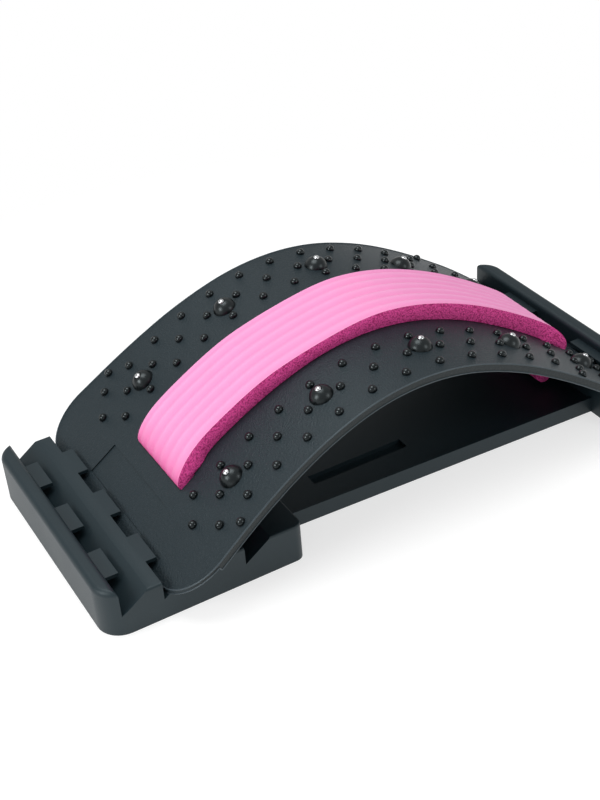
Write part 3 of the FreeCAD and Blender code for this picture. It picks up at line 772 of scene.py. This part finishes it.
def foam_mesh(skin, cut):
    """Sweep the ribbed outline through the stations and close both ends."""
    outline = foam_outline()
    stations = foam_stations()
    form = bmesh.new()
    roll_layer = form.verts.layers.float.new("roll")
    groove_shade_layer = form.verts.layers.float.new("groove_shade")
    foam = bpy.context.scene.traction_foam
    rings = []
    for inner, outer, roll in stations:
        ring = []
        foot = plate_place(inner[0], 0, inner[1])[0]
        head = plate_place(outer[0], 0, outer[1] * foam_press(outer[0]))[0]
        for across, share, kind in outline:
            flattened = 1 - (1 - share) * (1 - roll) if kind == "skin" else share
            point = foot.lerp(head, flattened)
            vertex = form.verts.new((point.x, foam_across(across, outer[0]), point.z))
            vertex[roll_layer] = roll
            if kind == "skin":
                # Painted shade in the grooves: nothing on the crests, rising in the valleys, fading
                # where the ends roll over
                vertex[groove_shade_layer] = (1 - share) * (1 - roll) * foam.thickness / foam.rib_depth
            ring.append(vertex)
        rings.append(ring)
    count = len(outline)
    for first, second in zip(rings, rings[1:]):
        for index in range(count):
            after = (index + 1) % count
            face = form.faces.new((first[index], first[after], second[after], second[index]))
            face.smooth = True
            face.material_index = 0 if outline[index][2] == "skin" else 1
    for ring in (rings[0], rings[-1]):
        cap = form.faces.new(ring)
        cap.material_index = 1
    bmesh.ops.recalc_face_normals(form, faces=form.faces)
    mesh = bpy.data.meshes.new("foam_strip_ribbed")
    form.to_mesh(mesh)
    form.free()
    mesh.set_sharp_from_angle(angle=math.radians(42))
    mesh.materials.append(skin)
    mesh.materials.append(cut)
    return mesh


# Operators
class TRACTION_OT_base(Operator):
    """Give the slotted base its satin moulded plastic"""

    bl_idname = "traction.base"
    bl_label = "Base"

    def execute(self, context):
        colours = context.scene.traction_colours
        dress("base", plastic("Satin base plastic", colours.base, (9.0, 0.35), (1400.0, 0.1),
                              (0.46, 0.16), (0.0002, 0.25)))
        soften("base")
        return {"FINISHED"}


class TRACTION_OT_plate(Operator):
    """Give the bent plate its grained plastic, with painted shade on its sideways faces"""

    bl_idname = "traction.plate"
    bl_label = "Plate"

    def execute(self, context):
        colours = context.scene.traction_colours
        material = plastic("Grained plate plastic", colours.plate, (14.0, 0.16), (620.0, 0.6),
                           (0.47, 0.1), (0.0008, 0.7))
        # Painted shade darkens the plate's sideways faces
        paint_side_shade(material, 0.85)
        dress("arch_plate", material)
        soften("arch_plate")
        return {"FINISHED"}


class TRACTION_OT_rims(Operator):
    """Run thin moulded beads along the plate's two rims, in a lighter tone that paints a highlight"""

    bl_idname = "traction.rims"
    bl_label = "Rim beads"

    def execute(self, context):
        # Painted highlight: the beads take a lighter tone than the plate
        material = plastic("Smooth rim plastic", context.scene.traction_colours.rim,
                           (60.0, 0.1), (2000.0, 0.05), (0.3, 0.05), (0.0001, 0.1))
        mesh = grown_mesh("plate_rim_beads", rim_lines("rim_lines"), bead_tree(material),
                          {"Bead radius": context.scene.traction_path.rim_bead})
        new_piece("plate_rim_beads", mesh, "arch", [])
        return {"FINISHED"}


class TRACTION_OT_nubs(Operator):
    """Grow the glossy massage nubs of both sides over the plate"""

    bl_idname = "traction.nubs"
    bl_label = "Nubs"

    def execute(self, context):
        nubs = context.scene.traction_nubs
        tree = button_tree(nub_plastic())
        rows = range(nubs.row_count)
        for side, sign in SIDES:
            places = [(row_place(row), sign * column)
                      for column in (nubs.outer_column, nubs.inner_column) for row in rows]
            places += [(row_place(row - 0.5), sign * nubs.middle_column) for row in rows]
            places += [(-nubs.near_corner, sign * nubs.corner_column),
                       (nubs.far_corner, sign * nubs.corner_column)]
            points = points_mesh(f"nub_points_{side}", places)
            mesh = grown_mesh(f"nubs_{side}_buttons", points, tree,
                              {"Foot radius": nubs.nub_radius, "Height": nubs.nub_height,
                               "Root": nubs.nub_root})
            new_piece(f"nubs_{side}_buttons", mesh, "arch", [f"nubs_{side}"])
        return {"FINISHED"}


class TRACTION_OT_domes(Operator):
    """Turn the ten glossy domes with their magnet sockets"""

    bl_idname = "traction.domes"
    bl_label = "Domes"

    def execute(self, context):
        turn_all("dome", dome_profile(), dome_plastic(), 48)
        return {"FINISHED"}


class TRACTION_OT_magnets(Operator):
    """Turn the ten bright magnet tips"""

    bl_idname = "traction.magnets"
    bl_label = "Magnets"

    def execute(self, context):
        turn_all("magnet", magnet_profile(), bright_metal(), 32)
        return {"FINISHED"}


class TRACTION_OT_foam(Operator):
    """Shape the ribbed foam strip, rolled over at both ends"""

    bl_idname = "traction.foam"
    bl_label = "Foam strip"

    def execute(self, context):
        mesh = foam_mesh(foam_skin(), foam_cut())
        piece = new_piece("foam_strip_ribbed", mesh, "arch", ["foam_strip"])
        return {"FINISHED"}


class TRACTION_OT_stage(Operator):
    """Set the white floor, the soft lights and the camera"""

    bl_idname = "traction.stage"
    bl_label = "Stage"

    def execute(self, context):
        scene = context.scene
        scene.view_settings.view_transform = "Standard"
        add_floor(scene)
        add_world(scene)
        add_lamp(scene, "Overhead softbox", (-0.2, 0.25, 1.5), 0.9, 11)
        add_lamp(scene, "Left softbox", (-1.5, -0.2, 0.8), 0.6, 10)
        add_lamp(scene, "Right softbox", (0.9, -1.3, 0.9), 0.5, 3.5)
        add_camera(scene)
        return {"FINISHED"}


def add_floor(scene):
    """Lay the floor: white to the eye, with a soft shadow only near the object."""
    reach = 6.0
    mesh = bpy.data.meshes.new("floor")
    mesh.from_pydata([(-reach, -reach, 0), (reach, -reach, 0), (reach, reach, 0), (-reach, reach, 0)],
                     [], [(0, 1, 2, 3)])
    floor = bpy.data.objects.new("floor", mesh)
    scene.collection.objects.link(floor)
    material = bpy.data.materials.new("White floor")
    material.use_nodes = True
    tree = material.node_tree
    tree.nodes.clear()
    # Bounced light meets a matt white floor, and the eye a dimmer one that fades to white
    matt = add_node(tree, "ShaderNodeBsdfDiffuse", {"Color": (0.92, 0.92, 0.92, 1)})
    dim = add_node(tree, "ShaderNodeBsdfDiffuse", {"Color": (0.46, 0.46, 0.46, 1)})
    veil = add_node(tree, "ShaderNodeEmission", {"Color": (1, 1, 1, 1), "Strength": 0.65})
    glow = add_node(tree, "ShaderNodeEmission", {"Color": (1, 1, 1, 1), "Strength": 1.0})
    shade = add_node(tree, "ShaderNodeAddShader", {0: dim.outputs[0], 1: veil.outputs[0]})
    place = tree.nodes.new("ShaderNodeTexCoord").outputs["Object"]
    distance = add_node(tree, "ShaderNodeVectorMath", {0: place}, operation="LENGTH")
    fade = add_node(tree, "ShaderNodeMapRange", {"Value": distance.outputs["Value"],
                                                 "From Min": 0.34, "From Max": 0.6})
    faded = add_node(tree, "ShaderNodeMixShader", {0: fade.outputs["Result"], 1: shade.outputs[0],
                                                   2: glow.outputs[0]})
    rays = tree.nodes.new("ShaderNodeLightPath")
    seen = maths(tree, "MAXIMUM", rays.outputs["Is Camera Ray"], rays.outputs["Is Glossy Ray"])
    seen = maths(tree, "MAXIMUM", seen, rays.outputs["Is Transmission Ray"])
    chosen = add_node(tree, "ShaderNodeMixShader", {0: seen, 1: matt.outputs[0], 2: faded.outputs[0]})
    add_node(tree, "ShaderNodeOutputMaterial", {"Surface": chosen.outputs[0]})
    mesh.materials.append(material)


def add_world(scene):
    """Light the scene softly from all round, with white behind it."""
    world = bpy.data.worlds.new("Studio")
    scene.world = world
    world.use_nodes = True
    tree = world.node_tree
    tree.nodes.clear()
    fill = add_node(tree, "ShaderNodeBackground", {"Color": (1, 1, 1, 1), "Strength": 0.5})
    white = add_node(tree, "ShaderNodeBackground", {"Color": (1, 1, 1, 1), "Strength": 1.0})
    rays = tree.nodes.new("ShaderNodeLightPath")
    seen = maths(tree, "MAXIMUM", rays.outputs["Is Camera Ray"],
                  rays.outputs["Is Transmission Ray"])
    chosen = add_node(tree, "ShaderNodeMixShader", {0: seen, 1: fill.outputs[0],
                                                    2: white.outputs[0]})
    add_node(tree, "ShaderNodeOutputWorld", {"Surface": chosen.outputs[0]})


def add_lamp(scene, name, place, width, watts):
    """Hang a square softbox that faces the middle of the arch."""
    lamp = bpy.data.lights.new(name, "AREA")
    lamp.size = width
    lamp.energy = watts
    holder = bpy.data.objects.new(name, lamp)
    holder.location = place
    middle = Vector((0, 0, 0.08))
    holder.rotation_euler = (middle - Vector(place)).to_track_quat("-Z", "Y").to_euler()
    scene.collection.objects.link(holder)


def add_camera(scene):
    """Stand the camera where the photograph was taken from."""
    view = scene.traction_view
    lens = bpy.data.cameras.new("Main camera")
    lens.sensor_width = 36
    lens.lens = view.lens
    lens.clip_start = 0.01
    holder = bpy.data.objects.new("Main camera", lens)
    ahead = Vector((math.sin(view.heading) * math.cos(view.dip),
                    math.cos(view.heading) * math.cos(view.dip), -math.sin(view.dip)))
    level = Vector((math.cos(view.heading), -math.sin(view.heading), 0))
    upward = level.cross(ahead)
    right = level * math.cos(view.roll) + upward * math.sin(view.roll)
    over = upward * math.cos(view.roll) - level * math.sin(view.roll)
    turned = Matrix((right, over, -ahead)).transposed().to_4x4()
    holder.matrix_world = Matrix.Translation(Vector(view.place)) @ turned
    scene.collection.objects.link(holder)
    scene.camera = holder


class TRACTION_PT_panel(Panel):
    """List the pieces of the traction arch"""

    bl_idname = "TRACTION_PT_panel"
    bl_label = "Traction arch"
    bl_space_type = "VIEW_3D"
    bl_region_type = "UI"
    bl_category = "Traction arch"

    def draw(self, context):
        column = self.layout.column(align=True)
        for operator in OPERATORS:
            column.operator(operator.bl_idname)
        for name in SETTINGS:
            box = self.layout.box()
            settings = getattr(context.scene, name)
            for key in settings.__annotations__:
                box.prop(settings, key)


OPERATORS = (TRACTION_OT_stage, TRACTION_OT_base, TRACTION_OT_plate, TRACTION_OT_rims,
             TRACTION_OT_nubs, TRACTION_OT_domes, TRACTION_OT_magnets, TRACTION_OT_foam)
SETTINGS = {"traction_path": TractionPath, "traction_nubs": TractionNubs,
            "traction_foam": TractionFoam, "traction_colours": TractionColours,
            "traction_view": TractionView}


def register():
    """Make the settings, the operators and the panel known."""
    for group in SETTINGS.values():
        bpy.utils.register_class(group)
    for name, group in SETTINGS.items():
        setattr(bpy.types.Scene, name, PointerProperty(type=group))
    for operator in OPERATORS:
        bpy.utils.register_class(operator)
    bpy.utils.register_class(TRACTION_PT_panel)


def unregister():
    """Take the settings, the operators and the panel out again."""
    bpy.utils.unregister_class(TRACTION_PT_panel)
    for operator in reversed(OPERATORS):
        bpy.utils.unregister_class(operator)
    for name, group in reversed(SETTINGS.items()):
        delattr(bpy.types.Scene, name)
        bpy.utils.unregister_class(group)


def main():
    """Make every piece in order."""
    register()
    for operator in OPERATORS:
        group, name = operator.bl_idname.split(".")
        getattr(getattr(bpy.ops, group), name)()


if __name__ == "__main__":
    main()
